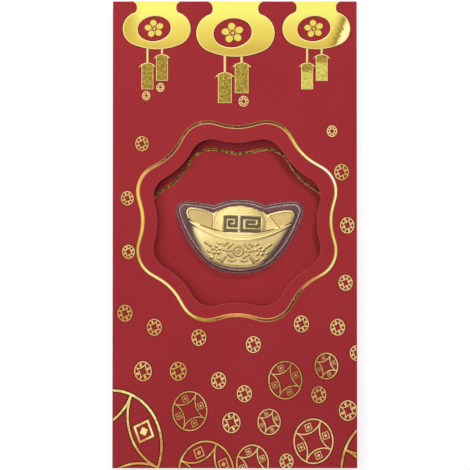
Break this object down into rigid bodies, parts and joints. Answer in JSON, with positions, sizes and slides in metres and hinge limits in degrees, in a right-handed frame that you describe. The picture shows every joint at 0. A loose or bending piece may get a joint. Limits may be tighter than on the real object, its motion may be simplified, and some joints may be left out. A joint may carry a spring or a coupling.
{
  "type": "red gift envelope",
  "caption": "Red card gift envelope with gold foil lanterns and coins; a lobed window shows a sliding card with a gilt ingot under a clear blister; a back flap closes the pocket.",
  "frame": {"origin": "middle of the underside, level with the closed flap's outer face", "axes": "lying on its back: +Z out of the printed front, +Y towards the mouth and flap, +X to the right seen from the front"},
  "size_m": [0.089, 0.17, 0.008],
  "materials": {
    "red_card": "matt",
    "gold_foil": "bright",
    "gilt": "gilt",
    "clear_blister": "clear",
    "gum": "dry gum",
    "backing_board": "matt"
  },
  "bodies": {
    "envelope": {"front_panel": "red_card", "left_gusset": "red_card", "right_gusset": "red_card", "bottom_gusset": "red_card", "left_glue_tab": "red_card", "right_glue_tab": "red_card", "bottom_glue_tab": "red_card", "left_seam_tab": "red_card", "right_seam_tab": "red_card", "bottom_seam_tab": "red_card", "divider_panel": "red_card", "back_panel": "red_card", "flap_spine": "red_card", "border_foil": "gold_foil", "lantern_foil_left": "gold_foil", "lantern_foil_centre": "gold_foil", "lantern_foil_right": "gold_foil", "tassel_foil_left": "gold_foil", "tassel_foil_centre": "gold_foil", "tassel_foil_right": "gold_foil", "coin_foils": "gold_foil"},
    "flap": {"top_flap": "red_card", "flap_gum_strip": "gum"},
    "insert": {"insert_card": "red_card", "insert_border_foil": "gold_foil", "blister": "clear_blister", "blister_backing": "backing_board", "ingot": "gilt"}
  },
  "joints": [
    {"name": "flap_crease", "type": "hinge", "parent": "envelope", "child": "flap", "pos_m": [0, 0.085, 0.00035], "axis": [1, 0, 0], "range_deg": [0, 180]},
    {"name": "insert_slide", "type": "slide", "parent": "envelope", "child": "insert", "axis": [0, 1, 0], "range_m": [0, 0.155]}
  ]
}
